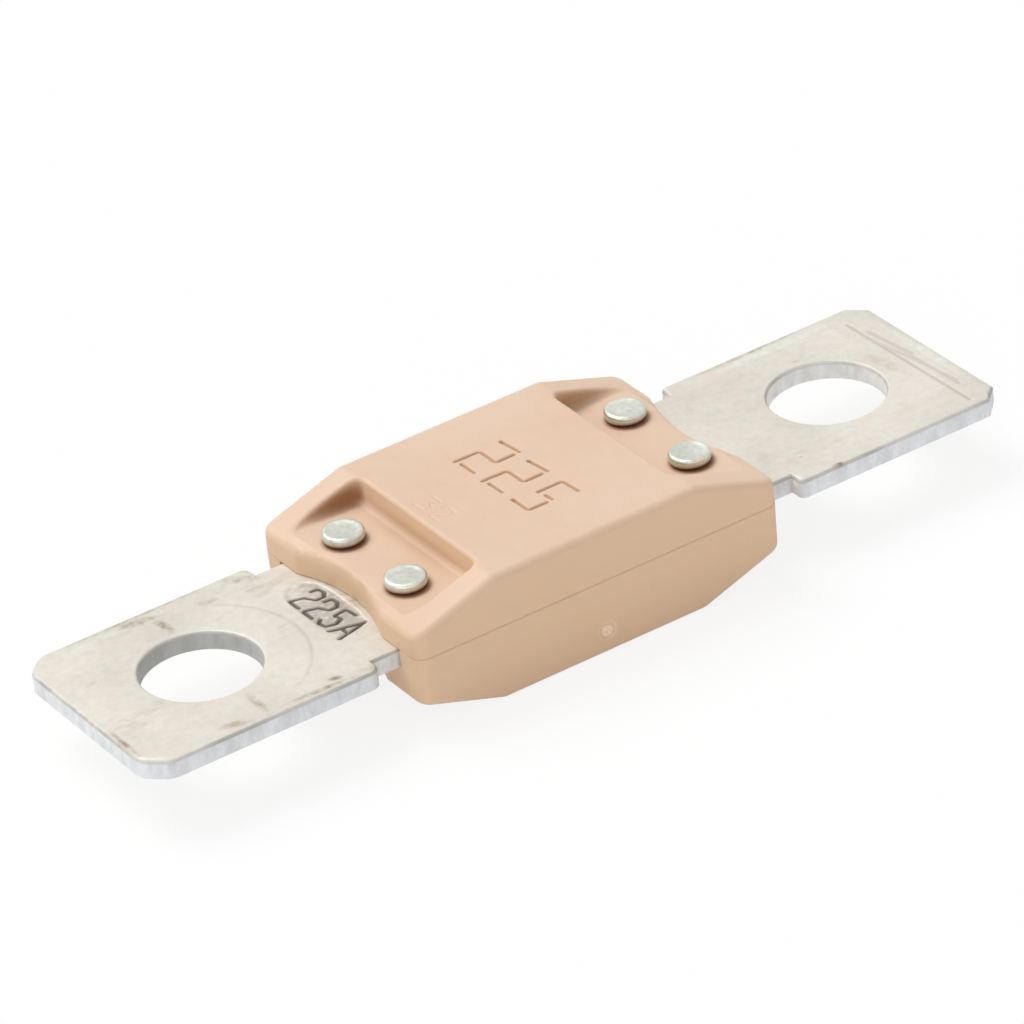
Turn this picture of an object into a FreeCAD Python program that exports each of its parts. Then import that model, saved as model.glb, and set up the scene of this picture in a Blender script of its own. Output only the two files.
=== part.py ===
import FreeCAD, Part
import math
import os
from FreeCAD import Vector

# Bolt down strip fuse: a stamped metal strip clamped between two moulded covers by four rivets.
# Millimetres. +X runs along the strip, +Z is up, and the origin lies midway between the two
# stud holes at the middle of the strip's thickness. "Near" is the -X end, "far" the +X end.

# Strip
stud_spacing = 50.8
stud_hole_diameter = 8.3
stud_hole_roll = 0.24
end_margin = 8.95
strip_thickness = 1.4
blade_width = 16.75
shoulder_step = 1.2
near_neck_show = 2.0
far_neck_show = 2.6
near_corner_cut = 1.5
near_corner_round = 1.2
far_corner_cut = 1.3
near_shoulder_round = 0.8
far_shoulder_round = 0.45
edge_roll = 0.22

# Fusible link, stamped from the same strip
link_width = 2.6
link_turn_width = 2.5
link_slot_width = 1.6
link_waist_hole = 1.3

# Covers, outside
body_length = 29.2
upper_depth = 3.9
lower_depth = 5.7
side_wall = 2.25
body_corner_round = 1.0
wall_draft = 1.0
slope_length = 6.5
ridge_round = 1.2
cover_edge_round = 0.6
scallop_depth = 1.1
scallop_draft = 2.0
scallop_edge_break = 0.25
parting_edge_break = 0.08

# Sunk step for the rivet heads at each end
step_depth = 1.85
step_inset = 0.14
step_draft = 4.0
step_corner_round = 0.8
step_foot_round = 0.5
step_rim_round = 0.3
rib_width = 2.45
end_drop = 2.17

# Covers, inside
slot_clearance = 0.2
chamber_roof = 1.3
chamber_end_wall = 1.2
chamber_side_room = 0.2
chamber_corner_round = 1.0

# Rivets
rivet_inset = 3.15
rivet_pitch = 7.64
rivet_shank_diameter = 2.0
rivet_hole_clearance = 0.05
rivet_head_diameter = 2.95
rivet_head_height = 0.8
rivet_head_crown = 0.1
rivet_head_round = 0.25

# Sizes that follow from those
strip_length = stud_spacing + 2 * end_margin
neck_width = blade_width - 2 * shoulder_step
near_shoulder = body_length / 2 + near_neck_show
far_shoulder = body_length / 2 + far_neck_show
slot_width = neck_width + 2 * slot_clearance
body_width = slot_width + 2 * side_wall
plateau_length = body_length - 2 * slope_length
step_start = plateau_length / 2 - step_inset
rivet_reach = body_length / 2 - rivet_inset
parting_height = strip_thickness / 2
upper_seat = parting_height + upper_depth - step_depth
lower_seat = parting_height - lower_depth + step_depth
step_half_width = body_width / 2 - rib_width
scallop_radius = stud_spacing / 2 - body_length / 2 + scallop_depth
chamber_length = 2 * (step_start - chamber_end_wall)
chamber_width = slot_width + 2 * chamber_side_room
rivet_hole_radius = rivet_shank_diameter / 2 + rivet_hole_clearance
beyond = 2.0


def corner_arc(before, corner, after, radius, z):
    # The arc of that radius which touches both sides of a corner: its start, middle and end.
    point = Vector(corner[0], corner[1], z)
    back = (Vector(before[0], before[1], z) - point).normalize()
    ahead = (Vector(after[0], after[1], z) - point).normalize()
    half_angle = back.getAngle(ahead) / 2
    reach = radius / math.tan(half_angle)
    bisector = (back + ahead).normalize()
    middle = point + bisector * (radius / math.sin(half_angle) - radius)
    return point + back * reach, middle, point + ahead * reach


def rounded_outline(corners, z):
    # A closed flat outline from corners given as x, y and the radius that rounds each, 0 for sharp.
    count = len(corners)
    stations = []
    for i in range(count):
        x, y, radius = corners[i]
        if radius:
            stations.append(corner_arc(corners[i - 1], (x, y), corners[(i + 1) % count], radius, z))
        else:
            stations.append([Vector(x, y, z)])
    edges = []
    for i in range(count):
        if len(stations[i]) > 1:
            edges.append(Part.Arc(*stations[i]).toShape())
        edges.append(Part.LineSegment(stations[i][-1], stations[(i + 1) % count][0]).toShape())
    return Part.Wire(edges)


def mirrored_corners(corners):
    # The same corners on the other side of the strip's centre line, in closing order.
    return corners + [(x, -y, radius) for x, y, radius in reversed(corners)]


def drafted_block(low_x, high_x, half_width, z_low, z_high, draft):
    # A block on z_low whose four sides lean out by the draft angle, or in when it is negative.
    lean = (z_high - z_low) * math.tan(math.radians(draft))
    wedge = Part.makeWedge(low_x, z_low, -half_width, -half_width - lean, low_x - lean,
                           high_x, z_high, half_width, half_width + lean, high_x + lean)
    wedge.rotate(Vector(0, 0, 0), Vector(1, 0, 0), 90)
    return wedge


def rounded(solid, radius, edges):
    # Rounds the edges and puts the skin of the result in order.
    result = solid.makeFillet(radius, edges)
    result.fix(1e-5, 1e-5, 1e-4)
    return result.Solids[0]


def middle_of(edge):
    return edge.valueAt((edge.FirstParameter + edge.LastParameter) / 2)


def upright_edges(solid, height):
    return [edge for edge in solid.Edges if edge.BoundBox.ZLength > 0.9 * height]


def rivet_places():
    return [(sx * rivet_reach, sy * rivet_pitch / 2) for sx in (-1, 1) for sy in (-1, 1)]


def rivet_holes():
    holes = [Part.makeCylinder(rivet_hole_radius, upper_seat - lower_seat + 2 * beyond,
                               Vector(x, y, lower_seat - beyond)) for x, y in rivet_places()]
    return Part.makeCompound(holes)


# Strip: one stamping from terminal to terminal, with the fusible link in its middle
def strip_outline():
    half_length = strip_length / 2
    blade = blade_width / 2
    neck = neck_width / 2
    near_round = min(near_shoulder_round, 0.75 * shoulder_step)
    far_round = min(far_shoulder_round, 0.75 * shoulder_step)
    corners = [(-half_length, near_corner_cut - blade, near_corner_round),
               (near_corner_cut - half_length, -blade, near_corner_round),
               (-near_shoulder, -blade, near_round), (-near_shoulder, -neck, 0),
               (far_shoulder, -neck, 0), (far_shoulder, -blade, far_round),
               (half_length - far_corner_cut, -blade, 0), (half_length, far_corner_cut - blade, 0)]
    return rounded_outline(mirrored_corners(corners), -strip_thickness / 2)


def link_slots():
    # Two slots from opposite edges leave an S-shaped link, and a hole thins its middle bar.
    height = strip_thickness + 2 * beyond
    low = -strip_thickness / 2 - beyond
    cuts = [Part.makeCylinder(link_waist_hole / 2, height, Vector(0, 0, low))]
    length = neck_width - link_turn_width - link_slot_width / 2
    offset = (link_width + link_slot_width) / 2
    for side in (-1, 1):
        tip = side * (length - neck_width / 2)
        slot = Part.makeBox(link_slot_width, length + beyond, height,
                            Vector(side * offset - link_slot_width / 2, 0, low))
        slot.translate(Vector(0, tip if side < 0 else tip - length - beyond, 0))
        cuts.append(slot)
        cuts.append(Part.makeCylinder(link_slot_width / 2, height, Vector(side * offset, tip, low)))
    return Part.makeCompound(cuts)


def punch(x):
    # What the stud punch takes away: a straight hole whose top rim rolls over in two steps.
    radius = stud_hole_diameter / 2
    roll = min(stud_hole_roll, 0.4 * strip_thickness)
    top = strip_thickness / 2
    profile = Part.makePolygon([Vector(0, 0, -beyond), Vector(radius, 0, -beyond), Vector(radius, 0, top - roll),
                                Vector(radius + roll / 3, 0, top - roll / 3), Vector(radius + roll, 0, top),
                                Vector(radius + roll, 0, beyond), Vector(0, 0, beyond), Vector(0, 0, -beyond)])
    tool = Part.Face(profile).revolve(Vector(0, 0, 0), Vector(0, 0, 1), 360)
    tool.translate(Vector(x, 0, 0))
    return tool


def fuse_strip():
    strip = Part.Face(strip_outline()).extrude(Vector(0, 0, strip_thickness))
    top = [edge for edge in strip.Edges if edge.BoundBox.ZMin > strip_thickness / 2 - 1e-6]
    strip = strip.makeChamfer(min(edge_roll, 0.4 * strip_thickness), top)
    strip = strip.cut(both_ends(punch(stud_spacing / 2)))
    return strip.cut(link_slots()).cut(rivet_holes())


# Covers: two mouldings with the same outside, which meet in the plane of the strip's top
def side_profile(depth):
    # Seen from the side: a flat plateau with a slope down to each end face, ridges rounded.
    half_plateau = plateau_length / 2
    slope = end_drop / slope_length
    reach = body_length / 2 + beyond
    end = depth - slope * (reach - half_plateau)
    points = [Vector(-reach, 0, -beyond), Vector(-reach, 0, end), Vector(-half_plateau, 0, depth),
              Vector(half_plateau, 0, depth), Vector(reach, 0, end), Vector(reach, 0, -beyond)]
    prism = Part.Face(Part.makePolygon(points + [points[0]])).extrude(Vector(0, 2 * body_width, 0))
    prism.translate(Vector(0, -body_width, 0))
    ridges = [edge for edge in prism.Edges if edge.BoundBox.YLength > body_width
              and abs(abs(edge.CenterOfMass.x) - half_plateau) < 1e-6 and edge.CenterOfMass.z > 0]
    return rounded(prism, ridge_round, ridges)


def rivet_step(depth, soft_foot):
    # What the sunk step at the far end takes away: leaning walls and rounded corners.
    height = step_depth + beyond
    low = depth - step_depth
    tool = drafted_block(step_start, body_length, step_half_width, low, low + height, step_draft)
    inner = [edge for edge in upright_edges(tool, height) if edge.CenterOfMass.x < body_length / 2]
    tool = rounded(tool, step_corner_round, inner)
    foot = [edge for edge in tool.Edges if edge.BoundBox.ZMax < low + 1e-6
            and middle_of(edge).x < body_length - 1e-3]
    return rounded(tool, step_foot_round, foot) if soft_foot else tool


def scallop(depth):
    # The round bite in the far end, about the stud hole, which leaves room for nut and washer.
    height = depth + 2 * beyond
    lean = height * math.tan(math.radians(scallop_draft))
    return Part.makeCone(scallop_radius, scallop_radius + lean, height,
                         Vector(stud_spacing / 2, 0, -beyond))


def on_scallop(point):
    # Whether a point of a cover lies on the leaning wall of either scallop.
    lean = (point.z + beyond) * math.tan(math.radians(scallop_draft))
    reach = math.hypot(stud_spacing / 2 - abs(point.x), point.y)
    return abs(reach - scallop_radius - lean) < 1e-3


def both_ends(tool):
    return Part.makeCompound([tool, tool.mirror(Vector(0, 0, 0), Vector(1, 0, 0))])


def cover_outside(depth, soft_step):
    # One cover with its parting face on z = 0 and its plateau at z = depth. soft_step tells
    # whether the edges of its rivet steps and scallops are softened too.
    block = drafted_block(-body_length / 2, body_length / 2, body_width / 2, 0, depth, -wall_draft)
    block = rounded(block, body_corner_round, upright_edges(block, depth))
    cover = block.common(side_profile(depth)).Solids[0]
    top = [edge for edge in cover.Edges if edge.BoundBox.ZMin > depth / 10
           and not (edge.BoundBox.YLength > body_width / 2 and abs(middle_of(edge).x) < body_length / 2 - 1)]
    cover = rounded(cover, cover_edge_round, top)
    cover = cover.cut(both_ends(rivet_step(depth, soft_step))).Solids[0]
    for side in (-1, 1) if soft_step else ():
        rim = [edge for edge in cover.Edges if edge.BoundBox.ZMin > depth - 1e-3
               and 0 < step_start - side * middle_of(edge).x < step_depth / 2]
        cover = rounded(cover, step_rim_round, rim)
    cover = cover.cut(both_ends(scallop(depth))).Solids[0]
    if soft_step:
        mouth = [edge for edge in cover.Edges if edge.BoundBox.ZMin > depth / 10
                 and edge.BoundBox.YLength > scallop_edge_break and on_scallop(middle_of(edge))]
        cover = cover.makeChamfer(scallop_edge_break, mouth).Solids[0]
    parting = [face for face in cover.Faces if face.BoundBox.ZMax < 1e-6][0]
    return cover.makeChamfer(parting_edge_break, parting.OuterWire.Edges).Solids[0]


def chamber(depth):
    # The hollow over one side of the link, with rounded upright corners.
    height = depth - chamber_roof
    box = Part.makeBox(chamber_length, chamber_width, height + beyond,
                       Vector(-chamber_length / 2, -chamber_width / 2, -beyond))
    return rounded(box, chamber_corner_round, upright_edges(box, height + beyond))


def upper_cover():
    cover = cover_outside(upper_depth, True).cut(chamber(upper_depth))
    cover.translate(Vector(0, 0, parting_height))
    return cover.cut(rivet_holes())


def lower_cover():
    # The strip lies in a slot of its own thickness, sunk in this cover alone.
    cover = cover_outside(lower_depth, False).cut(chamber(lower_depth))
    slot = Part.makeBox(body_length + 2 * beyond, slot_width, strip_thickness + beyond,
                        Vector(-body_length / 2 - beyond, -slot_width / 2, -beyond))
    cover = cover.cut(slot).mirror(Vector(0, 0, 0), Vector(0, 0, 1))
    cover.translate(Vector(0, 0, parting_height))
    return cover.cut(rivet_holes())


# Rivets: a shank through covers and strip, with a low crowned head on each cover's step
def rivet_head():
    radius = rivet_head_diameter / 2
    edge_height = rivet_head_height - rivet_head_crown
    profile = Part.makePolygon([Vector(0, 0, 0), Vector(radius, 0, 0), Vector(radius, 0, edge_height - rivet_head_round),
                                Vector(radius - rivet_head_round, 0, edge_height),
                                Vector(0, 0, rivet_head_height), Vector(0, 0, 0)])
    return Part.Face(profile).revolve(Vector(0, 0, 0), Vector(0, 0, 1), 360)


def rivet(x, y):
    shank = Part.makeCylinder(rivet_shank_diameter / 2, upper_seat - lower_seat, Vector(0, 0, lower_seat))
    upper = rivet_head()
    lower = upper.mirror(Vector(0, 0, 0), Vector(0, 0, 1))
    upper.translate(Vector(0, 0, upper_seat))
    lower.translate(Vector(0, 0, lower_seat))
    whole = shank.fuse([upper, lower]).removeSplitter()
    whole.translate(Vector(x, y, 0))
    return whole.Solids[0]


def rivets():
    return Part.makeCompound([rivet(x, y) for x, y in rivet_places()])


nodes = {"fuse_strip": fuse_strip, "upper_cover": upper_cover, "lower_cover": lower_cover, "rivets": rivets}
os.makedirs("parts", exist_ok=True)
for name, make in nodes.items():
    shape = make()
    print(name, "valid", shape.isValid(), "solids", len(shape.Solids), "volume", round(shape.Volume, 2))
    if shape.ShapeType == "Compound" and len(shape.Solids) == 1:
        shape = shape.Solids[0]
    shape.exportStep("parts/" + name + ".step")
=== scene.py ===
import math

import bmesh
import bpy
import numpy as np
from mathutils import Matrix, Vector

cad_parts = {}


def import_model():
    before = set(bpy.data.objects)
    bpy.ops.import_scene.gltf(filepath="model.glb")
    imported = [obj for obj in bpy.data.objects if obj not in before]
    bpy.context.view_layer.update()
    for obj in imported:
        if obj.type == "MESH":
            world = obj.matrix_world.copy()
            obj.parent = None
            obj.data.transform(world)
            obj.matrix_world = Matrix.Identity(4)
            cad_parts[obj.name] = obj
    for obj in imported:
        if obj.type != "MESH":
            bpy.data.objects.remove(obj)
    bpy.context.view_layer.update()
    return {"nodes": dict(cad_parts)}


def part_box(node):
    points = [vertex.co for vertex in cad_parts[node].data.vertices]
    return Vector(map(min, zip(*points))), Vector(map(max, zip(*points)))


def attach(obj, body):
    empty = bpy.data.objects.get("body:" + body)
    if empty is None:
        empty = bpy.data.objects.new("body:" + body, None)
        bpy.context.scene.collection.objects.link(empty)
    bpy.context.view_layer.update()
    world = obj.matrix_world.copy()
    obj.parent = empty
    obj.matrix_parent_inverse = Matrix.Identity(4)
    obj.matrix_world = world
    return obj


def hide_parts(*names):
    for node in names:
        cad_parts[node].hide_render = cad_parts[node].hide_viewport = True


# Bolt down strip fuse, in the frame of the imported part: +X runs along the strip, +Z is up, and
# the origin lies midway between the stud holes at the strip's mid-thickness. Blender works in
# metres, and all the lengths below are millimetres.
mm = 0.001
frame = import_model()
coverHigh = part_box("upper_cover")[1]
plateauTop = coverHigh.z / mm
bodyHalfWidth = coverHigh.y / mm
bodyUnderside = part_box("lower_cover")[0].z / mm
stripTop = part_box("fuse_strip")[1].z / mm
print("frame loaded:", ", ".join(sorted(frame["nodes"])))


# Mesh helpers

def addObject(name, data):
    # An object at the origin that shows a mesh, a light or a camera.
    obj = bpy.data.objects.new(name, data)
    bpy.context.scene.collection.objects.link(obj)
    return obj


def newObject(name, verts, faces):
    # An object at the origin from an array of points and lists of corner numbers.
    mesh = bpy.data.meshes.new(name)
    mesh.from_pydata((np.asarray(verts, float) * mm).tolist(), [], faces)
    mesh.update()
    return addObject(name, mesh)


def reshape(mesh, change):
    # Runs a change on the mesh's editable form and writes it back.
    work = bmesh.new()
    work.from_mesh(mesh)
    change(work)
    work.to_mesh(mesh)
    work.free()


def softenEdges(obj, sharpAngle):
    # Smooth shading everywhere except along edges that turn by more than the angle.
    limit = math.radians(sharpAngle)

    def soften(work):
        for face in work.faces:
            face.smooth = True
        for edge in work.edges:
            edge.smooth = len(edge.link_faces) == 2 and edge.calc_face_angle(0) < limit

    reshape(obj.data, soften)


def weldedCopy(node, name):
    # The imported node's shape as one welded skin, so that it can be cut and shaded smoothly.
    weld = 0.0005 * mm
    mesh = frame["nodes"][node].data.copy()
    mesh.name = name
    mesh.materials.clear()
    reshape(mesh, lambda work: bmesh.ops.remove_doubles(work, verts=work.verts, dist=weld))
    return addObject(name, mesh)


def carve(obj, tools):
    # Takes the tools away from the piece for good.
    for tool in tools:
        cut = obj.modifiers.new("cut", "BOOLEAN")
        cut.object = tool
        cut.operation = "DIFFERENCE"
        cut.solver = "EXACT"
    bpy.context.view_layer.update()
    evaluated = obj.evaluated_get(bpy.context.evaluated_depsgraph_get())
    mesh = bpy.data.meshes.new_from_object(evaluated)
    obj.modifiers.clear()
    obj.data = mesh
    for tool in tools:
        bpy.data.objects.remove(tool)


def evenNormals(obj):
    # Flat faces keep their own normal and the rounds between them take up the turn.
    even = obj.modifiers.new("even normals", "WEIGHTED_NORMAL")
    even.mode = "FACE_AREA"
    even.weight = 100
    even.keep_sharp = True


# Relief: strokes pressed into a flat face

def strokeDistance(u, v, path):
    # Distance from every grid point to a polyline: for each of its runs, the point is dropped
    # on the run, kept between the run's ends, and the nearest run counts.
    best = np.full(u.shape, np.inf)
    for (u0, v0), (u1, v1) in zip(path, path[1:]):
        du, dv = u1 - u0, v1 - v0
        along = np.clip(((u - u0) * du + (v - v0) * dv) / (du * du + dv * dv), 0, 1)
        best = np.minimum(best, np.hypot(u - u0 - along * du, v - v0 - along * dv))
    return best


def roundedPath(points, radius):
    # The same polyline with each inner corner turned into an arc that touches both runs.
    arcPoints = 7
    path = [points[0]]
    for before, corner, after in zip(points, points[1:], points[2:]):
        corner, before, after = (np.array(p, float) for p in (corner, before, after))
        back = (before - corner) / np.linalg.norm(before - corner)
        ahead = (after - corner) / np.linalg.norm(after - corner)
        half = math.acos(float(np.clip(back @ ahead, -1, 1))) / 2
        reach = radius / math.tan(half)
        inward = (back + ahead) / np.linalg.norm(back + ahead)
        centre = corner + inward * radius / math.sin(half)
        start, end = corner + back * reach - centre, corner + ahead * reach - centre
        for t in np.linspace(0, 1, arcPoints):
            spoke = start * (1 - t) + end * t
            path.append(tuple(centre + spoke / np.linalg.norm(spoke) * radius))
    path.append(points[-1])
    return path


def groove(distance, halfWidth, depth):
    # A rounded groove: full depth on the stroke's line, falling off to its edge as a cosine,
    # which the power makes somewhat wider.
    power = 0.7
    t = np.clip(distance / halfWidth, 0, 1)
    return depth * (0.5 + 0.5 * np.cos(np.pi * t)) ** power


reliefBlock = {
    "skim": 0.002,      # cut everywhere, too thin to be seen: the block meets the face all round
    "lid": 0.5,         # how far the block stands out of the face
    "fadeSteps": 4,     # the relief fades to the skim over this many steps from the border
}


def reliefTool(name, place, values, depthOf):
    # A closed block whose underside is the wanted relief: point = place(u, v, -depth) on a grid
    # over the values' area.
    u, v = (np.linspace(low, high, int(round((high - low) / values["step"])) + 1)
            for low, high in values["area"])
    gridU, gridV = np.meshgrid(u, v, indexing="ij")
    border = np.minimum.reduce([gridU - u[0], u[-1] - gridU, gridV - v[0], v[-1] - gridV])
    fade = np.clip(border / (reliefBlock["fadeSteps"] * values["step"]), 0, 1)
    depth = depthOf(gridU, gridV) * fade + reliefBlock["skim"]
    floor = place(gridU.ravel(), gridV.ravel(), -depth.ravel())
    rows, cols = gridU.shape
    index = np.arange(rows * cols).reshape(rows, cols)
    corners = [index[:-1, :-1], index[:-1, 1:], index[1:, 1:], index[1:, :-1]]
    quads = np.stack(corners, -1).reshape(-1, 4)
    sides = [index[:-1, 0], index[-1, :-1], index[:0:-1, -1], index[0, :0:-1]]
    loop = np.concatenate(sides)
    lid = reliefBlock["lid"]
    roof = place(gridU.ravel()[loop], gridV.ravel()[loop], np.full(len(loop), lid))
    top = rows * cols + np.arange(len(loop))
    middle = place(np.array([u.mean()]), np.array([v.mean()]), np.array([lid]))
    apex = top[-1] + 1
    following = np.roll(np.arange(len(loop)), -1)
    walls = np.stack([loop, top, top[following], loop[following]], -1)
    fan = np.stack([top, np.full(len(loop), apex), top[following]], -1)
    faces = quads.tolist() + walls.tolist() + fan.tolist()
    tool = newObject(name, np.concatenate([floor, roof, middle]), faces)
    reshape(tool.data, lambda work: bmesh.ops.recalc_face_normals(work, faces=work.faces))
    return tool


def onTop(height):
    # u runs along +X and v along +Y on a level face at that height.
    return lambda u, v, out: np.stack([u, v, height + out], -1)


def cellCorner(values, i):
    # Where the i-th figure of a row starts: the reader's right is -Y, and up is +X.
    x, y = values["firstCorner"]
    return x, y - i * values["pitch"]


def figuresDepth(u, v, strokes, values):
    # The grooves of a row of figures. A stroke's points are shares of the figure's cell, across
    # and up, so that point = corner + (up * height, -across * width).
    depth = np.zeros(u.shape)
    for i, figure in enumerate(values["text"]):
        x, y = cellCorner(values, i)
        for stroke in strokes[figure]:
            path = [(x + up * values["height"], y - across * values["width"])
                    for across, up in stroke]
            if len(path) > 2:
                path = roundedPath(path, values["cornerRadius"])
            near = strokeDistance(u, v, path)
            depth = np.maximum(depth, groove(near, values["strokeHalfWidth"], values["depth"]))
    return depth


# Engraved rating on the plateau: runs with gaps between them, and a deeper dot at one run's end
engravedStrokes = {
    "2": [[(0.0, 0.95), (1.0, 1.0)],
          [(1.02, 0.88), (1.04, 0.5), (0.02, 0.5), (0.0, 0.0)],
          [(0.3, 0.04), (1.08, 0.045)]],
    "5": [[(1.06, 1.03), (0.17, 1.0), (0.18, 0.5)],
          [(0.55, 0.54), (0.91, 0.55)],
          [(0.96, 0.43), (0.95, 0.05), (0.02, 0.05)]],
}
engravedDots = {"2": (0.0, 0.95), "5": (0.02, 0.05)}
rating = {
    "text": "225",
    "firstCorner": (-1.95, 4.36),   # X of the feet and Y of the first figure's left side
    "height": 3.95,
    "width": 1.92,
    "pitch": 3.36,
    "cornerRadius": 0.26,
    "strokeHalfWidth": 0.185,
    "depth": 0.22,
    "dotHalfWidth": 0.22,
    "dotDepth": 0.3,
    "area": ((-2.7, 2.8), (-5.0, 5.0)),
    "step": 0.045,
}


def ratingDepth(u, v):
    depth = figuresDepth(u, v, engravedStrokes, rating)
    for i, figure in enumerate(rating["text"]):
        x, y = cellCorner(rating, i)
        across, up = engravedDots[figure]
        spot = np.hypot(u - x - up * rating["height"], v - y + across * rating["width"])
        depth = np.maximum(depth, groove(spot, rating["dotHalfWidth"], rating["dotDepth"]))
    return depth


# Very faint small figures beside the near step
faintStrokes = {
    "3": [[(0.0, 1.0), (1.0, 1.0), (0.45, 0.58), (1.0, 0.45), (0.95, 0.02), (0.0, 0.0)]],
    "2": [[(0.0, 0.8), (0.1, 1.0), (0.95, 1.0), (1.0, 0.6), (0.0, 0.0), (1.05, 0.0)]],
}
faint = {
    "text": "32",
    "firstCorner": (-7.0, 1.65),
    "height": 1.5,
    "width": 1.1,
    "pitch": 1.65,
    "cornerRadius": 0.1,
    "strokeHalfWidth": 0.12,
    "depth": 0.045,
    "area": ((-7.35, -5.2), (-1.4, 1.95)),
    "step": 0.05,
}


def faintDepth(u, v):
    return figuresDepth(u, v, faintStrokes, faint)


# Stamp on the near blade: the rating in amperes, struck with a punch that sank a dent too
stampedStrokes = {
    "2": [[(0.0, 0.74), (0.06, 0.97), (0.55, 1.0), (0.98, 0.86), (0.94, 0.6), (0.3, 0.42),
           (0.02, 0.0), (1.02, 0.0)]],
    "5": [[(1.0, 1.02), (0.12, 0.98), (0.2, 0.55), (0.75, 0.62), (1.02, 0.36), (0.84, 0.06),
           (0.3, 0.0), (0.02, 0.14)]],
    "A": [[(0.0, 0.0), (0.56, 1.0)], [(0.56, 1.0), (1.1, 0.0)], [(0.3, 0.34), (0.86, 0.34)]],
}
stamp = {
    "text": "225A",
    "firstCorner": (-16.7, 2.82),
    "height": 2.35,
    "width": 1.16,
    "pitch": 1.66,
    "cornerRadius": 0.12,
    "strokeHalfWidth": 0.27,
    "depth": 0.27,
    "dentCentre": (-15.45, 0.35),
    "dentReach": (1.62, 3.95),      # half its size along X and Y
    "dentPower": (2.6, 3.4),        # how square its outline is along X and Y
    "dentEdge": 3.5,                # how steeply it sinks from its outline
    "dentDepth": 0.08,
    "dentWaves": 0.022,             # how uneven its floor is
    "area": ((-17.3, -13.7), (-4.0, 4.6)),
    "step": 0.05,
}


def stampDepth(u, v):
    # The dent is a superellipse that sinks quickly and then stays level, apart from waves: sines
    # that cross at unlike lengths, so that nothing repeats. The figures go through its floor.
    (x, y), (reachX, reachY) = stamp["dentCentre"], stamp["dentReach"]
    powerX, powerY = stamp["dentPower"]
    inside = 1 - np.abs((u - x) / reachX) ** powerX - np.abs((v - y) / reachY) ** powerY
    sunk = np.clip(np.clip(inside, 0, 1) * stamp["dentEdge"], 0, 1)
    waves = np.sin(5.3 * u + 1.7 * np.sin(2.1 * v)) * np.sin(4.1 * v + 0.8)
    waves = waves + np.sin(9.7 * v - 3.1 * u) / 2
    dent = sunk * (stamp["dentDepth"] + stamp["dentWaves"] * waves)
    return np.maximum(dent, figuresDepth(u, v, stampedStrokes, stamp))


# Roller scores along the far blade's end: each from, to, half width and depth
scores = {
    "lines": [((31.84, 6.3), (32.04, -7.7), 0.24, 0.03),
              ((32.39, 4.49), (32.81, 0.23), 0.34, 0.022),
              ((31.92, 3.85), (32.99, -4.8), 0.22, 0.022),
              ((32.62, -0.02), (32.82, -5.28), 0.28, 0.022)],
    "area": ((31.3, 33.5), (-7.8, 6.8)),
    "step": 0.06,
}


def scoreDepth(u, v):
    depth = np.zeros(u.shape)
    for start, end, halfWidth, deep in scores["lines"]:
        near = strokeDistance(u, v, [start, end])
        depth = np.maximum(depth, groove(near, halfWidth, deep))
    return depth


# Mould mark on the lower cover's near side: a plain ring round a small cross
mouldMark = {
    "centre": (0.14, -3.2),         # X and Z
    "radius": 0.52,
    "lineHalfWidth": 0.14,
    "armLength": 0.24,
    "depth": 0.12,
    "area": ((-0.76, 1.04), (-4.1, -2.3)),
    "step": 0.04,
    "draft": 1.0,                   # degrees by which the side leans in towards the underside
}


def markDepth(u, v):
    x, z = mouldMark["centre"]
    ring = np.abs(np.hypot(u - x, v - z) - mouldMark["radius"])
    arm = mouldMark["armLength"]
    bars = np.minimum(strokeDistance(u, v, [(x - arm, z), (x + arm, z)]),
                      strokeDistance(u, v, [(x, z - arm), (x, z + arm)]))
    return groove(np.minimum(ring, bars), mouldMark["lineHalfWidth"], mouldMark["depth"])


def onNearSide(u, v, out):
    # u runs along +X and v along +Z on the side, which is widest at the height of the strip's top.
    lean = (stripTop - v) * math.tan(math.radians(mouldMark["draft"]))
    return np.stack([u, lean - bodyHalfWidth - out, v], -1)


# Rivets: one profile turned about each rivet's own axis
rivet = {
    "reach": 11.45,                 # from the middle to each pair, along X
    "pitch": 7.64,                  # between the two of a pair, along Y
    "headRadius": 1.475,
    "headHeight": 0.8,
    "edgeRound": 0.25,
    "underRound": 0.3,              # round under the head's rim, which leaves a dark gap
    "shankRadius": 1.0,
    "dish": 0.05,                   # how far the set top sinks inside its rim
    "dishPower": 6,                 # how flat the dish's floor is
    "roundSteps": 9,
    "dishSteps": 14,
    "around": 72,
}
rivetLow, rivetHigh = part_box("rivets")
upperSeat = rivetHigh.z / mm - rivet["headHeight"]
lowerSeat = rivetLow.z / mm + rivet["headHeight"]


def headProfile():
    # Radius and height along one head: out under the rim on a quarter round, up the side, over a
    # second quarter round, and then slightly down into the shallow dish of the setting tool.
    turn = np.linspace(0, np.pi / 2, rivet["roundSteps"])
    under = rivet["headRadius"] - rivet["underRound"] * (1 - np.sin(turn))
    lift = rivet["underRound"] * (1 - np.cos(turn))
    edge = rivet["headRadius"] - rivet["edgeRound"] * (1 - np.cos(turn))
    rise = rivet["headHeight"] - rivet["edgeRound"] * (1 - np.sin(turn))
    inner = np.linspace(rivet["headRadius"] - rivet["edgeRound"], 0, rivet["dishSteps"])[1:]
    dip = rivet["headHeight"] - rivet["dish"] * (1 - (inner / inner.max()) ** rivet["dishPower"])
    radii = np.concatenate([[rivet["shankRadius"]], under, edge, inner])
    heights = np.concatenate([[0], lift, rise, dip])
    return radii, heights


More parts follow.
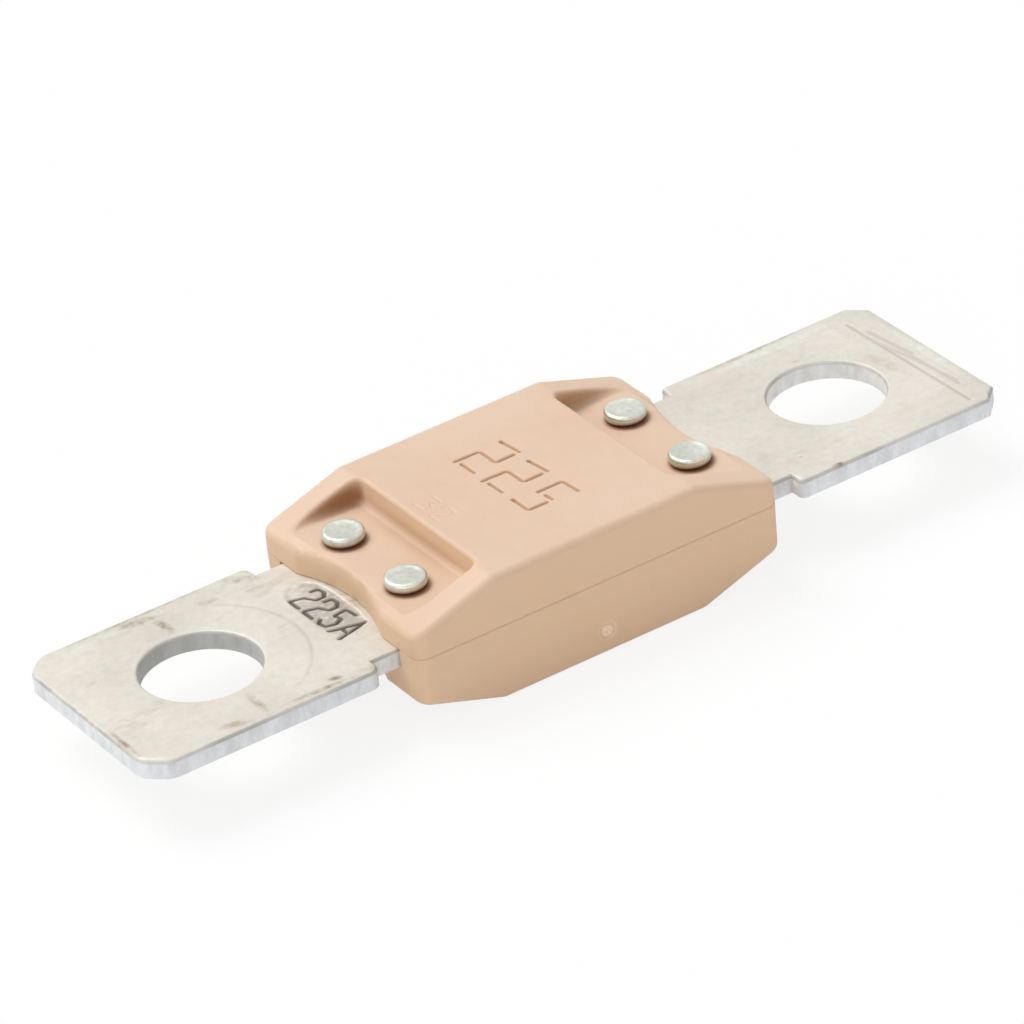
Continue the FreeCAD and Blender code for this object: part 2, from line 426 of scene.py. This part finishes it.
def turned(radii, heights, x, y):
    # point = (x + r cos a, y + r sin a, h): the profile swept once round, closed at both poles.
    angle = np.linspace(0, 2 * np.pi, rivet["around"], endpoint=False)
    ring = np.stack([x + radii[1:-1, None] * np.cos(angle), y + radii[1:-1, None] * np.sin(angle),
                     heights[1:-1, None] + 0 * angle], -1).reshape(-1, 3)
    points = np.concatenate([ring, [[x, y, heights[0]], [x, y, heights[-1]]]])
    rows = len(radii) - 2
    index = np.arange(rows * len(angle)).reshape(rows, -1)
    ahead = np.roll(index, -1, axis=1)
    quads = np.stack([index[:-1], ahead[:-1], ahead[1:], index[1:]], -1).reshape(-1, 4)
    bottom = np.stack([np.full(len(angle), len(ring)), ahead[0], index[0]], -1)
    top = np.stack([np.full(len(angle), len(ring) + 1), index[-1], ahead[-1]], -1)
    return points, quads.tolist() + bottom.tolist() + top.tolist()


print("values read")


# Shader node helpers

def addNode(tree, kind, links=(), **settings):
    # A node with its settings, and its inputs set to values or joined to other nodes' outputs.
    node = tree.nodes.new(kind)
    for key, value in settings.items():
        setattr(node, key, value)
    for socket, source in links:
        if isinstance(source, bpy.types.NodeSocket):
            tree.links.new(source, node.inputs[socket])
        else:
            node.inputs[socket].default_value = source
    return node


def placeGroup(tree, group, links):
    return addNode(tree, "ShaderNodeGroup", links, node_tree=group).outputs[0]


def math2(tree, operation, a, b=0.0, clamp=False):
    node = addNode(tree, "ShaderNodeMath", [(0, a), (1, b)], operation=operation, use_clamp=clamp)
    return node.outputs[0]


def product(tree, first, *others):
    for other in others:
        first = math2(tree, "MULTIPLY", first, other)
    return first


def vectorMath(tree, operation, *vectors):
    return addNode(tree, "ShaderNodeVectorMath", enumerate(vectors), operation=operation).outputs[0]


def vectorLength(tree, vector):
    return addNode(tree, "ShaderNodeVectorMath", [(0, vector)], operation="LENGTH").outputs["Value"]


def component(tree, vector, axis):
    return addNode(tree, "ShaderNodeSeparateXYZ", [(0, vector)]).outputs[axis]


def spread(tree, source, start, end, low=0.0, high=1.0, smooth=False):
    # Goes from low to high while the source goes from start to end, and stays there beyond.
    curve = "SMOOTHSTEP" if smooth else "LINEAR"
    links = [(0, source), (1, start), (2, end), (3, low), (4, high)]
    return addNode(tree, "ShaderNodeMapRange", links, interpolation_type=curve).outputs[0]


def noiseTexture(tree, vector, scale, detail, roughness):
    links = [("Vector", vector), ("Scale", scale), ("Detail", detail), ("Roughness", roughness)]
    return addNode(tree, "ShaderNodeTexNoise", links).outputs["Fac"]


def ramp(tree, mask, limits, lowColor, highColor):
    # One colour up to the first limit, the other from the second on, and a blend between them.
    node = addNode(tree, "ShaderNodeValToRGB", [("Fac", mask)])
    for stop, place, color in zip(node.color_ramp.elements, limits, (lowColor, highColor)):
        stop.position = place
        stop.color = color
    return node.outputs["Color"]


def mixValues(tree, factor, a, b):
    return addNode(tree, "ShaderNodeMix", [(0, factor), (2, a), (3, b)]).outputs[0]


def mixColors(tree, factor, a, b, blend="MIX"):
    links = [(0, factor), (6, a), (7, b)]
    return addNode(tree, "ShaderNodeMix", links, data_type="RGBA", blend_type=blend).outputs[2]


# Shader node groups: an effect that more than one material uses

def newGroup(name, inputs):
    # A group that takes the named inputs, each with a default, and puts out one mask.
    group = bpy.data.node_groups.new(name, "ShaderNodeTree")
    for label, default in inputs:
        kind = "NodeSocketVector" if isinstance(default, tuple) else "NodeSocketFloat"
        socket = group.interface.new_socket(name=label, in_out="INPUT", socket_type=kind)
        socket.default_value = default
    group.interface.new_socket(name="Mask", in_out="OUTPUT", socket_type="NodeSocketFloat")
    return group, group.nodes.new("NodeGroupInput").outputs


def putOut(group, mask):
    group.links.new(mask, group.nodes.new("NodeGroupOutput").inputs["Mask"])
    return group


def mottleGroup():
    # Soft blotches over finer ones, in the object's own space: a mask about 0.5.
    group, given = newGroup("mottle", [("Vector", (0, 0, 0)), ("Scale", 200.0),
                                       ("Fine Scale", 2000.0), ("Fine Share", 0.3)])
    broad = noiseTexture(group, given["Vector"], given["Scale"], detail=3.0, roughness=0.55)
    fine = noiseTexture(group, given["Vector"], given["Fine Scale"], detail=2.0, roughness=0.6)
    return putOut(group, mixValues(group, given["Fine Share"], broad, fine))


def grainGroup():
    # Streaks drawn out along one axis: noise on coordinates that are squeezed along it.
    group, given = newGroup("grain", [("Vector", (0, 0, 0)), ("Squeeze", (1, 20, 1)),
                                      ("Scale", 400.0)])
    squeezed = vectorMath(group, "MULTIPLY", given["Vector"], given["Squeeze"])
    return putOut(group, noiseTexture(group, squeezed, given["Scale"], detail=4.0, roughness=0.65))


def insideBoxGroup():
    # 1 where the point lies in a box given by its low and high corners, and 0 outside it.
    group, given = newGroup("insideBox", [("Vector", (0, 0, 0)), ("Low", (0, 0, 0)),
                                          ("High", (0, 0, 0))])
    above = vectorMath(group, "SUBTRACT", given["Vector"], given["Low"])
    below = vectorMath(group, "SUBTRACT", given["High"], given["Vector"])
    room = addNode(group, "ShaderNodeSeparateXYZ", [(0, vectorMath(group, "MINIMUM", above, below))])
    least = math2(group, "MINIMUM", room.outputs["Y"], room.outputs["Z"])
    least = math2(group, "MINIMUM", room.outputs["X"], least)
    return putOut(group, math2(group, "GREATER_THAN", least, 0.0))


def smudgeGroup():
    # One soft elongated spot: 1 at its centre, falling to 0 at its reach, and broken up by noise
    # as far as Broken says.
    group, given = newGroup("smudge", [("Vector", (0, 0, 0)), ("Centre", (0, 0, 0)),
                                       ("Turn", (0, 0, 0)), ("Reach", (1, 1, 1)), ("Broken", 1.0)])
    local = addNode(group, "ShaderNodeMapping", [("Vector", given["Vector"]),
                                                 ("Location", given["Centre"]),
                                                 ("Rotation", given["Turn"]),
                                                 ("Scale", given["Reach"])], vector_type="TEXTURE")
    core = 0.15                     # full within this share of the reach
    away = vectorLength(group, local.outputs[0])
    soft = spread(group, away, 1.0, core, smooth=True)
    noise = noiseTexture(group, given["Vector"], scale=1400.0, detail=3.0, roughness=0.6)
    broken = spread(group, noise, 0.38, 0.62, low=0.15)     # the noise lies about 0.5
    return putOut(group, product(group, soft, mixValues(group, given["Broken"], 1.0, broken)))


mottle = mottleGroup()
grain = grainGroup()
insideBox = insideBoxGroup()
smudge = smudgeGroup()


def mottled(tree, space, scales):
    scale, fineScale, fineShare = scales
    return placeGroup(tree, mottle, [("Vector", space), ("Scale", scale), ("Fine Scale", fineScale),
                                     ("Fine Share", fineShare)])


def grained(tree, space, streaks):
    squeeze, scale = streaks
    return placeGroup(tree, grain, [("Vector", space), ("Squeeze", squeeze), ("Scale", scale)])


def smudgeAt(tree, space, centre, reach, turn=0.0, broken=1.0):
    return placeGroup(tree, smudge, [("Vector", space), ("Centre", tuple(c * mm for c in centre)),
                                     ("Turn", (0, 0, turn)),
                                     ("Reach", tuple(r * mm for r in reach)), ("Broken", broken)])


def sunkMask(tree, space, area, top, depths):
    # How deep a point lies under a level face inside a rectangle: 0 down to the first depth, and
    # 1 from the second on. The face itself and what lies far under it count as outside.
    shallowest, deepest = 0.008, 0.6
    firstDepth, fullDepth = depths
    (x0, x1), (y0, y1) = area
    low, high = (x0, y0, top - deepest), (x1, y1, top - shallowest)
    inside = placeGroup(tree, insideBox, [("Vector", space), ("Low", tuple(c * mm for c in low)),
                                          ("High", tuple(c * mm for c in high))])
    height = component(tree, space, "Z")
    deep = spread(tree, height, (top - firstDepth) * mm, (top - fullDepth) * mm)
    return product(tree, inside, deep)


def axisDistance(tree, space, x, y):
    # Distance from the nearest of the upright axes at (+-x, +-y).
    folded = vectorMath(tree, "ABSOLUTE", space)
    centred = vectorMath(tree, "SUBTRACT", folded, (x * mm, y * mm, 0))
    return vectorLength(tree, vectorMath(tree, "MULTIPLY", centred, (1, 1, 0)))


def steepness(tree):
    # 0 on level faces and 1 on upright ones.
    normal = addNode(tree, "ShaderNodeNewGeometry").outputs["True Normal"]
    upward = math2(tree, "ABSOLUTE", component(tree, normal, "Z"))
    return math2(tree, "SUBTRACT", 1.0, upward, clamp=True)


# Materials

def startMaterial(name):
    material = bpy.data.materials.new(name)
    material.use_nodes = True
    tree = material.node_tree
    return material, tree, tree.nodes["Principled BSDF"]


def objectSpace(tree):
    return tree.nodes.new("ShaderNodeTexCoord").outputs["Object"]


def linear(r, g, b):
    # The shader's linear colour for an 8-bit display colour, which is never near black here.
    return tuple(((c / 255 + 0.055) / 1.055) ** 2.4 for c in (r, g, b)) + (1.0,)


def setRoughness(tree, shader, mask, limits):
    # The mask's usual range, which lies about 0.5, goes from the glossiest to the dullest spots.
    tree.links.new(spread(tree, mask, 0.3, 0.7, *limits), shader.inputs["Roughness"])


def setBump(tree, shader, height, finish):
    bump = addNode(tree, "ShaderNodeBump", [("Height", height), ("Distance", finish["bumpHeight"] * mm),
                                            ("Strength", finish["bumpStrength"])])
    tree.links.new(bump.outputs[0], shader.inputs["Normal"])


# Moulded plastic of the covers
plastic = {
    "light": linear(231, 203, 178),
    "deep": linear(225, 194, 165),
    "blush": linear(233, 197, 174),
    "side": linear(230, 196, 161),  # painted shade: the steep faces are coloured yellower and a little darker than level ones
    # painted shade in the engraved strokes
    "engravedShade": linear(186, 150, 112),
    "mark": linear(255, 230, 202),
    "paintedContactShadow": linear(146, 82, 44),
    # painted shade for the steps' inner corners
    "corner": linear(150, 94, 50),
    # each mottle's scale, its fine scale and the fine one's share
    "blotches": (90.0, 900.0, 0.25),
    "tints": (160.0, 400.0, 0.5),
    "pores": (1800.0, 6000.0, 0.4),
    "blotchLimits": (0.35, 0.62),
    "blushShare": 0.35,
    "paintedSideShadeShare": 0.9,
    # painted shade in the steps' inner corners and along the foot of their back walls: centre, reach
    # and strength
    "corners": [((-8.6, 7.15, 3.3), (6.4, 0.8, 1.5), 0.9), ((9.0, 7.15, 3.35), (5.0, 0.8, 1.5), 0.5),
                ((-8.0, 0.6, 2.9), (1.5, 9.0, 1.1), 0.28), ((8.0, 0.6, 2.9), (1.5, 9.0, 1.1), 0.2)],
    # the painted shadow round a rivet head: how far it is shifted, its full and outer radius, and its
    # share
    "contactShift": (-0.02, -0.2, 0.0),
    "contactRadii": (1.3, 1.8),
    "contactShare": 0.85,
    "engravedShadeDepths": (0.01, 0.18),  # where the painted shade in the strokes starts and is darkest
    "engravedShadeShare": 0.85,
    "markReach": (0.95, 0.4, 0.95),
    "markBroken": 0.2,
    "roughness": (0.44, 0.58),
    "bumpHeight": 0.016,
    "bumpStrength": 0.6,
    "specular": 0.5,
    "scatter": 0.1,
    "scatterRadius": (1.0, 0.45, 0.25),
    "scatterDepth": 0.6,
}


def mouldedPlastic():
    material, tree, shader = startMaterial("mouldedPlastic")
    space = objectSpace(tree)
    color = ramp(tree, mottled(tree, space, plastic["blotches"]), plastic["blotchLimits"],
                 plastic["deep"], plastic["light"])
    tint = product(tree, mottled(tree, space, plastic["tints"]), plastic["blushShare"])
    color = mixColors(tree, tint, color, plastic["blush"])
    # painted shade: steep faces take the yellower, darker side colour
    paintedSideShade = product(tree, steepness(tree), plastic["paintedSideShadeShare"])
    color = mixColors(tree, paintedSideShade, color, plastic["side"])
    # painted shade in the steps' inner corners and painted shadow close round the rivet heads
    for centre, reach, strength in plastic["corners"]:
        spot = product(tree, smudgeAt(tree, space, centre, reach, broken=0.0), strength)
        color = mixColors(tree, spot, color, plastic["corner"])
    # painted shadow round each rivet head, shifted a little towards -Y
    shift = tuple(c * mm for c in plastic["contactShift"])
    away = axisDistance(tree, vectorMath(tree, "SUBTRACT", space, shift), rivet["reach"],
                        rivet["pitch"] / 2)
    full, outer = plastic["contactRadii"]
    ring = spread(tree, away, outer * mm, full * mm, high=plastic["contactShare"], smooth=True)
    color = mixColors(tree, ring, color, plastic["paintedContactShadow"])
    # painted shade: the engraved strokes are darker towards their floor
    engravedShade = sunkMask(tree, space, rating["area"], plateauTop, plastic["engravedShadeDepths"])
    color = mixColors(tree, product(tree, engravedShade, plastic["engravedShadeShare"]), color,
                      plastic["engravedShade"])
    # the side is paler round the mould mark
    x, z = mouldMark["centre"]
    spot = smudgeAt(tree, space, (x, -bodyHalfWidth, z), plastic["markReach"],
                    broken=plastic["markBroken"])
    color = mixColors(tree, spot, color, plastic["mark"])
    tree.links.new(color, shader.inputs["Base Color"])
    pores = mottled(tree, space, plastic["pores"])
    setRoughness(tree, shader, pores, plastic["roughness"])
    setBump(tree, shader, pores, plastic)
    shader.inputs["Specular IOR Level"].default_value = plastic["specular"]
    shader.inputs["Subsurface Weight"].default_value = plastic["scatter"]
    shader.inputs["Subsurface Radius"].default_value = plastic["scatterRadius"]
    shader.inputs["Subsurface Scale"].default_value = plastic["scatterDepth"] * mm
    return material


# Tin plated metal of the strip
tin = {
    "light": linear(225, 221, 210),
    "shade": linear(207, 201, 189),
    "blush": linear(224, 210, 200),
    "cool": linear(236, 238, 240),
    # painted light and shade on the two holes' punched walls
    "nearHoleWallShade": linear(192, 193, 190),
    "farHoleWallLight": linear(246, 246, 244),
    "tarnish": linear(140, 116, 90),
    "paintedEdgeHighlight": linear(230, 236, 226),
    # painted shade in the stamped figures and the roller scores
    "sunk": linear(84, 66, 50),
    # painted shade on the rolled edges
    "edgeShadeLine": linear(180, 176, 168),
    # each mottle's scale, its fine scale and the fine one's share
    "blotches": (110.0, 1500.0, 0.35),
    "tints": (700.0, 2600.0, 0.4),
    "pits": (900.0, 3500.0, 0.5),
    # limits are the stretch of a mask, which lies about 0.5, over which its effect grows
    "blotchLimits": (0.34, 0.6),
    "blushLimits": (0.5, 0.66),
    "blushShare": 0.7,
    # each grain's squeeze and scale
    "streaks": ((1.0, 14.0, 1.0), 260.0),
    "shearing": ((2.2, 2.2, 1.0), 620.0),
    "handling": ((0.45, 1.0, 1.0), 330.0),
    "specks": ((1.0, 1.0, 1.0), 1500.0),
    "shearLimits": (0.35, 0.65),
    "shearTones": (0.86, 1.03),     # darkest and lightest streaks of the sheared sides
    "studReach": 25.4,
    "holeRadius": 4.15,
    "holeMargin": 0.06,             # what is no farther out counts as the hole's wall
    "edgeLineDepths": (0.34, 0.2),  # how far under the top the painted shade line starts and is full
    "edgeLineTop": 0.06,
    "edgeLineLimits": (0.42, 0.58),
    "edgeLineShares": (0.25, 0.85),
    "smearLimits": (0.6, 0.74),
    "smearShare": 0.3,
    "speckLimits": (0.66, 0.76),
    "speckShare": 0.45,
    # the faint ring that a washer left round the near hole, on the side towards the body
    "washerRadius": 7.35,
    "washerHalfWidth": 0.22,
    "washerShare": 0.34,
    "washerSpan": (-23.0, -18.5),   # X where the ring starts to show and shows most
    "washerMost": 0.7,
    # tarnish smears on the top: from, to, half width and strength
    "smears": [((-27.4, 7.65), (-24.3, 7.1), 0.6, 0.8), ((-24.85, 7.3), (-24.5, 4.5), 0.5, 0.75),
               ((-21.6, 6.4), (-20.4, 6.35), 0.5, 0.6), ((-24.9, -4.8), (-25.0, -7.7), 0.42, 0.7),
               ((-20.0, -7.3), (-19.1, -7.4), 0.4, 0.85), ((-24.2, -7.75), (-17.6, -8.05), 0.34, 0.8),
               ((-28.3, -7.3), (-26.4, -7.8), 0.5, 0.75), ((-18.8, 7.9), (-16.8, 6.6), 0.6, 0.75),
               ((-34.0, -2.5), (-34.05, -6.6), 0.3, 0.8), ((-33.0, 8.0), (-19.0, 8.1), 0.3, 0.55),
               ((-32.3, 3.0), (-31.6, 3.1), 0.3, 0.3), ((-30.2, -1.9), (-29.5, -2.1), 0.4, 0.3),
               ((25.9, 4.8), (26.4, 4.75), 0.22, 0.8), ((20.0, -8.2), (20.8, -8.25), 0.22, 1.0),
               ((17.8, 7.9), (31.0, 8.1), 0.28, 0.5), ((30.2, 3.0), (31.0, -2.0), 0.7, 0.25),
               ((-12.8, 0.0), (-14.0, 0.1), 2.2, 0.5)],
    # painted highlight inside the blades' far edges and the far blade's end, where the rolled edges
    # catch the light
    "paintedEdgeHighlights": [((18.5, 7.3), (33.2, 7.4), 0.6, 0.8), ((33.6, 6.5), (33.7, -7.0), 0.5, 0.8),
               ((-33.5, 7.3), (-20.0, 7.4), 0.4, 0.5)],
    "smudgeReach": 0.5,             # how far a smear or a painted edge highlight reaches above and under the top
    "stampShade": (0.09, 0.22),      # the depths where the painted shade starts and is darkest
    "scoreShade": (0.005, 0.06),
    "scoreShadeShare": 0.6,
    "grooveShadeShare": 0.9,
    "roughness": (0.45, 0.67),
    "metallic": 0.2,
    "streakRelief": 0.6,
    "pitRelief": 1.4,
    "shearRelief": 2.0,
    "bumpHeight": 0.02,
    "bumpStrength": 0.7,
}


def smudges(tree, space, spots, mask):
    # The strongest of several spots on the strip's top and of the mask given.
    for (x0, y0), (x1, y1), halfWidth, strength in spots:
        centre = ((x0 + x1) / 2, (y0 + y1) / 2, stripTop)
        reach = (math.hypot(x1 - x0, y1 - y0) / 2 + halfWidth, halfWidth, tin["smudgeReach"])
        spot = smudgeAt(tree, space, centre, reach, turn=math.atan2(y1 - y0, x1 - x0))
        mask = math2(tree, "MAXIMUM", mask, product(tree, spot, strength))
    return mask


def rolledTin(tree, space):
    # The rolled faces: soft blotches, warmer in places.
    base = ramp(tree, mottled(tree, space, tin["blotches"]), tin["blotchLimits"], tin["shade"],
                tin["light"])
    warm = spread(tree, mottled(tree, space, tin["tints"]), *tin["blushLimits"],
                  high=tin["blushShare"])
    return mixColors(tree, warm, base, tin["blush"])


def shearedTin(tree, away, far, torn):
    # The sheared sides are cooler than the faces; the near hole's punched wall has a painted shade and
    # the far hole's wall a painted light.
    inHole = math2(tree, "LESS_THAN", away, (tin["holeRadius"] + tin["holeMargin"]) * mm)
    holeWallLightAndShade = mixColors(tree, far, tin["nearHoleWallShade"], tin["farHoleWallLight"])
    wall = mixColors(tree, inHole, tin["cool"], holeWallLightAndShade)
    tone = addNode(tree, "ShaderNodeCombineXYZ", [(0, torn), (1, torn), (2, torn)])
    return mixColors(tree, 1.0, wall, tone.outputs[0], "MULTIPLY")


def edgeShadeLine(tree, height, torn, handled):
    # A thin patchy line of painted shade where the top face rolls over into the sides.
    start, full = tin["edgeLineDepths"]
    level = spread(tree, height, (stripTop - start) * mm, (stripTop - full) * mm, smooth=True)
    below = math2(tree, "LESS_THAN", height, (stripTop - tin["edgeLineTop"]) * mm)
    patchy = spread(tree, handled, *tin["edgeLineLimits"], *tin["edgeLineShares"])
    return product(tree, level, below, torn, patchy)


def washerRing(tree, along, away, far):
    offRing = math2(tree, "ABSOLUTE", math2(tree, "SUBTRACT", away, tin["washerRadius"] * mm))
    worn = spread(tree, offRing, tin["washerHalfWidth"] * mm, 0.0, high=tin["washerShare"])
    start, full = tin["washerSpan"]
    part = spread(tree, along, start * mm, full * mm, high=tin["washerMost"])
    return product(tree, worn, part, math2(tree, "SUBTRACT", 1.0, far))


def tinPlate():
    material, tree, shader = startMaterial("tinPlate")
    space = objectSpace(tree)
    along, height = component(tree, space, "X"), component(tree, space, "Z")
    far = math2(tree, "GREATER_THAN", along, 0.0)
    away = axisDistance(tree, space, tin["studReach"], 0)
    side = steepness(tree)
    shearing = grained(tree, space, tin["shearing"])
    torn = spread(tree, shearing, *tin["shearLimits"], *tin["shearTones"])
    handled = grained(tree, space, tin["handling"])
    color = mixColors(tree, side, rolledTin(tree, space), shearedTin(tree, away, far, torn))
    color = mixColors(tree, edgeShadeLine(tree, height, torn, handled), color, tin["edgeShadeLine"])
    # painted highlight along the rolled edges
    color = mixColors(tree, smudges(tree, space, tin["paintedEdgeHighlights"], 0.0), color, tin["paintedEdgeHighlight"])
    # brown tarnish: smears where the blades were handled, faint scattered ones, and specks
    faintSmears = spread(tree, handled, *tin["smearLimits"], high=tin["smearShare"])
    specks = spread(tree, grained(tree, space, tin["specks"]), *tin["speckLimits"],
                    high=tin["speckShare"])
    stain = smudges(tree, space, tin["smears"], math2(tree, "MAXIMUM", faintSmears, specks))
    stain = math2(tree, "MAXIMUM", stain, washerRing(tree, along, away, far))
    color = mixColors(tree, stain, color, tin["tarnish"])
    # painted shade in the stamped figures and in the roller scores
    scored = sunkMask(tree, space, scores["area"], stripTop, tin["scoreShade"])
    stamped = sunkMask(tree, space, stamp["area"], stripTop, tin["stampShade"])
    grooveShade = math2(tree, "MAXIMUM", stamped, product(tree, scored, tin["scoreShadeShare"]))
    color = mixColors(tree, product(tree, grooveShade, tin["grooveShadeShare"]), color, tin["sunk"])
    tree.links.new(color, shader.inputs["Base Color"])
    streaks = grained(tree, space, tin["streaks"])
    setRoughness(tree, shader, streaks, tin["roughness"])
    shader.inputs["Metallic"].default_value = tin["metallic"]
    relief = math2(tree, "ADD", product(tree, streaks, tin["streakRelief"]),
                   product(tree, mottled(tree, space, tin["pits"]), tin["pitRelief"]))
    relief = math2(tree, "ADD", relief, product(tree, shearing, side, tin["shearRelief"]))
    setBump(tree, shader, relief, tin)
    return material


# Plated steel of the rivets
steel = {
    "light": linear(218, 219, 208),
    "shade": linear(192, 195, 184),
    # painted shade at the heads' foot
    "foot": linear(104, 68, 46),
    "blotches": (500.0, 2600.0, 0.45),
    "blotchLimits": (0.35, 0.62),
    "footHeights": (0.08, 0.5),     # over the seat: where the painted shade at the foot is full and ends
    "roughness": (0.27, 0.44),
    "metallic": 0.75,
    "bumpHeight": 0.02,
    "bumpStrength": 0.5,
}


def platedSteel():
    material, tree, shader = startMaterial("platedSteel")
    space = objectSpace(tree)
    blotch = mottled(tree, space, steel["blotches"])
    base = ramp(tree, blotch, steel["blotchLimits"], steel["shade"], steel["light"])
    # painted shade: the heads' sides darken towards the plastic that they sit on
    middle, half = (upperSeat + lowerSeat) / 2, (upperSeat - lowerSeat) / 2
    height = component(tree, space, "Z")
    out = math2(tree, "ABSOLUTE", math2(tree, "SUBTRACT", height, middle * mm))
    full, end = steel["footHeights"]
    foot = spread(tree, out, (half + end) * mm, (half + full) * mm, smooth=True)
    tree.links.new(mixColors(tree, foot, base, steel["foot"]), shader.inputs["Base Color"])
    setRoughness(tree, shader, blotch, steel["roughness"])
    shader.inputs["Metallic"].default_value = steel["metallic"]
    setBump(tree, shader, blotch, steel)
    return material


materials = {"covers": mouldedPlastic(), "strip": tinPlate(), "rivets": platedSteel()}
print("materials built")


# Pieces

def finishPiece(obj, node, slot, sharpAngle):
    softenEdges(obj, sharpAngle)
    evenNormals(obj)
    obj.data.materials.clear()
    obj.data.materials.append(materials[slot])
    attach(obj, "root")
    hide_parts(node)
    print(obj.name, "has", len(obj.data.polygons), "faces")


def upperCover():
    cover = weldedCopy("upper_cover", "upperCover")
    carve(cover, [reliefTool("ratingTool", onTop(plateauTop), rating, ratingDepth),
                  reliefTool("faintTool", onTop(plateauTop), faint, faintDepth)])
    finishPiece(cover, "upper_cover", "covers", sharpAngle=50)


def lowerCover():
    cover = weldedCopy("lower_cover", "lowerCover")
    carve(cover, [reliefTool("markTool", onNearSide, mouldMark, markDepth)])
    finishPiece(cover, "lower_cover", "covers", sharpAngle=38)


def fuseStrip():
    strip = weldedCopy("fuse_strip", "fuseStrip")
    carve(strip, [reliefTool("stampTool", onTop(stripTop), stamp, stampDepth),
                  reliefTool("scoreTool", onTop(stripTop), scores, scoreDepth)])
    finishPiece(strip, "fuse_strip", "strip", sharpAngle=50)


def rivetSet():
    radii, heights = headProfile()
    profileRadii = np.concatenate([radii[::-1], radii])
    profileHeights = np.concatenate([lowerSeat - heights[::-1], upperSeat + heights])
    points, faces = [], []
    for x in (-rivet["reach"], rivet["reach"]):
        for y in (-rivet["pitch"] / 2, rivet["pitch"] / 2):
            more, corners = turned(profileRadii, profileHeights, x, y)
            start = sum(len(p) for p in points)
            points.append(more)
            faces += [[start + c for c in corner] for corner in corners]
    obj = newObject("rivetSet", np.concatenate(points), faces)
    finishPiece(obj, "rivets", "rivets", sharpAngle=60)


upperCover()
lowerCover()
fuseStrip()
rivetSet()
print("pieces built")


# Floor, light and camera
studio = {
    "ambient": 0.46,
    "keyStrength": 1.72,
    "keyAngle": 38.0,
    "keyFrom": (-0.22, 0.55, 1.0),
    "fillStrength": 0.6,
    "fillAngle": 70.0,
    "fillFrom": (-1.0, -0.9, 0.45),
    "floorReach": 3000.0,
    "floorDrop": 0.01,              # how far the floor lies under the body
    "floorColor": (0.98, 0.98, 0.98, 1),
    "floorRoughness": 0.9,
    "floorGlow": 0.85,              # how much of the floor's white shows in its shadow too
}
white = (1, 1, 1, 1)


def seenDirectly(tree):
    # 1 for what the camera sees itself, mirrored or through glass, and 0 for the light on the part.
    paths = tree.nodes.new("ShaderNodeLightPath").outputs
    return math2(tree, "MAXIMUM", paths["Is Camera Ray"],
                 math2(tree, "MAXIMUM", paths["Is Glossy Ray"], paths["Is Transmission Ray"]))


def floor():
    reach, height = studio["floorReach"], bodyUnderside - studio["floorDrop"]
    corners = [(-reach, -reach, height), (reach, -reach, height), (reach, reach, height),
               (-reach, reach, height)]
    obj = newObject("floor", corners, [[0, 1, 2, 3]])
    material, tree, shader = startMaterial("paleFloor")
    shader.inputs["Base Color"].default_value = studio["floorColor"]
    shader.inputs["Roughness"].default_value = studio["floorRoughness"]
    shader.inputs["Specular IOR Level"].default_value = 0.0
    # part of the floor is seen as plain white, which keeps the shadow but lightens it
    glow = addNode(tree, "ShaderNodeEmission", [("Color", white), ("Strength", 1.0)])
    share = product(tree, seenDirectly(tree), studio["floorGlow"])
    both = addNode(tree, "ShaderNodeMixShader", [(0, share), (1, shader.outputs[0]),
                                                 (2, glow.outputs[0])])
    tree.links.new(both.outputs[0], tree.nodes["Material Output"].inputs["Surface"])
    obj.data.materials.append(material)


def world():
    # White to the camera and in reflections, softer as a light.
    sky = bpy.data.worlds.new("studio")
    bpy.context.scene.world = sky
    sky.use_nodes = True
    tree = sky.node_tree
    background = tree.nodes["Background"]
    background.inputs["Color"].default_value = white
    strength = spread(tree, seenDirectly(tree), 0.0, 1.0, low=studio["ambient"])
    tree.links.new(strength, background.inputs["Strength"])


def sun(name, strength, source, angle):
    light = bpy.data.lights.new(name, "SUN")
    light.energy = strength
    light.angle = math.radians(angle)
    obj = addObject(name, light)
    obj.rotation_euler = Vector(source).to_track_quat("Z", "Y").to_euler()


# The photograph's own view, found by fitting the part's outline: the camera's three axes in the
# part's frame, its place, and its focal length in pixels of the photograph
photoView = {
    "right": (0.82634865, -0.55483187, -0.09648585),
    "up": (0.36020041, 0.38902187, 0.84789011),
    "back": (-0.43290134, -0.73540709, 0.52131836),
    "eye": (-202.73664, -343.46311, 245.48254),
    "focalPixels": 6980.6676,
    "photoPixels": 1024,
    "sensorWidth": 36.0,
    "nearest": 10.0,                # nothing closer to the camera is seen
}


def camera():
    lens = bpy.data.cameras.new("photoView")
    lens.sensor_width = photoView["sensorWidth"]
    lens.lens = photoView["focalPixels"] / photoView["photoPixels"] * photoView["sensorWidth"]
    lens.clip_start = photoView["nearest"] * mm
    obj = addObject("photoView", lens)
    axes = Matrix([photoView[axis] for axis in ("right", "up", "back")]).transposed().to_4x4()
    obj.matrix_world = Matrix.Translation(Vector(photoView["eye"]) * mm) @ axes
    bpy.context.scene.camera = obj


floor()
world()
sun("key", studio["keyStrength"], studio["keyFrom"], studio["keyAngle"])
sun("fill", studio["fillStrength"], studio["fillFrom"], studio["fillAngle"])
camera()
bpy.context.scene.view_settings.view_transform = "Standard"
print("stage set")
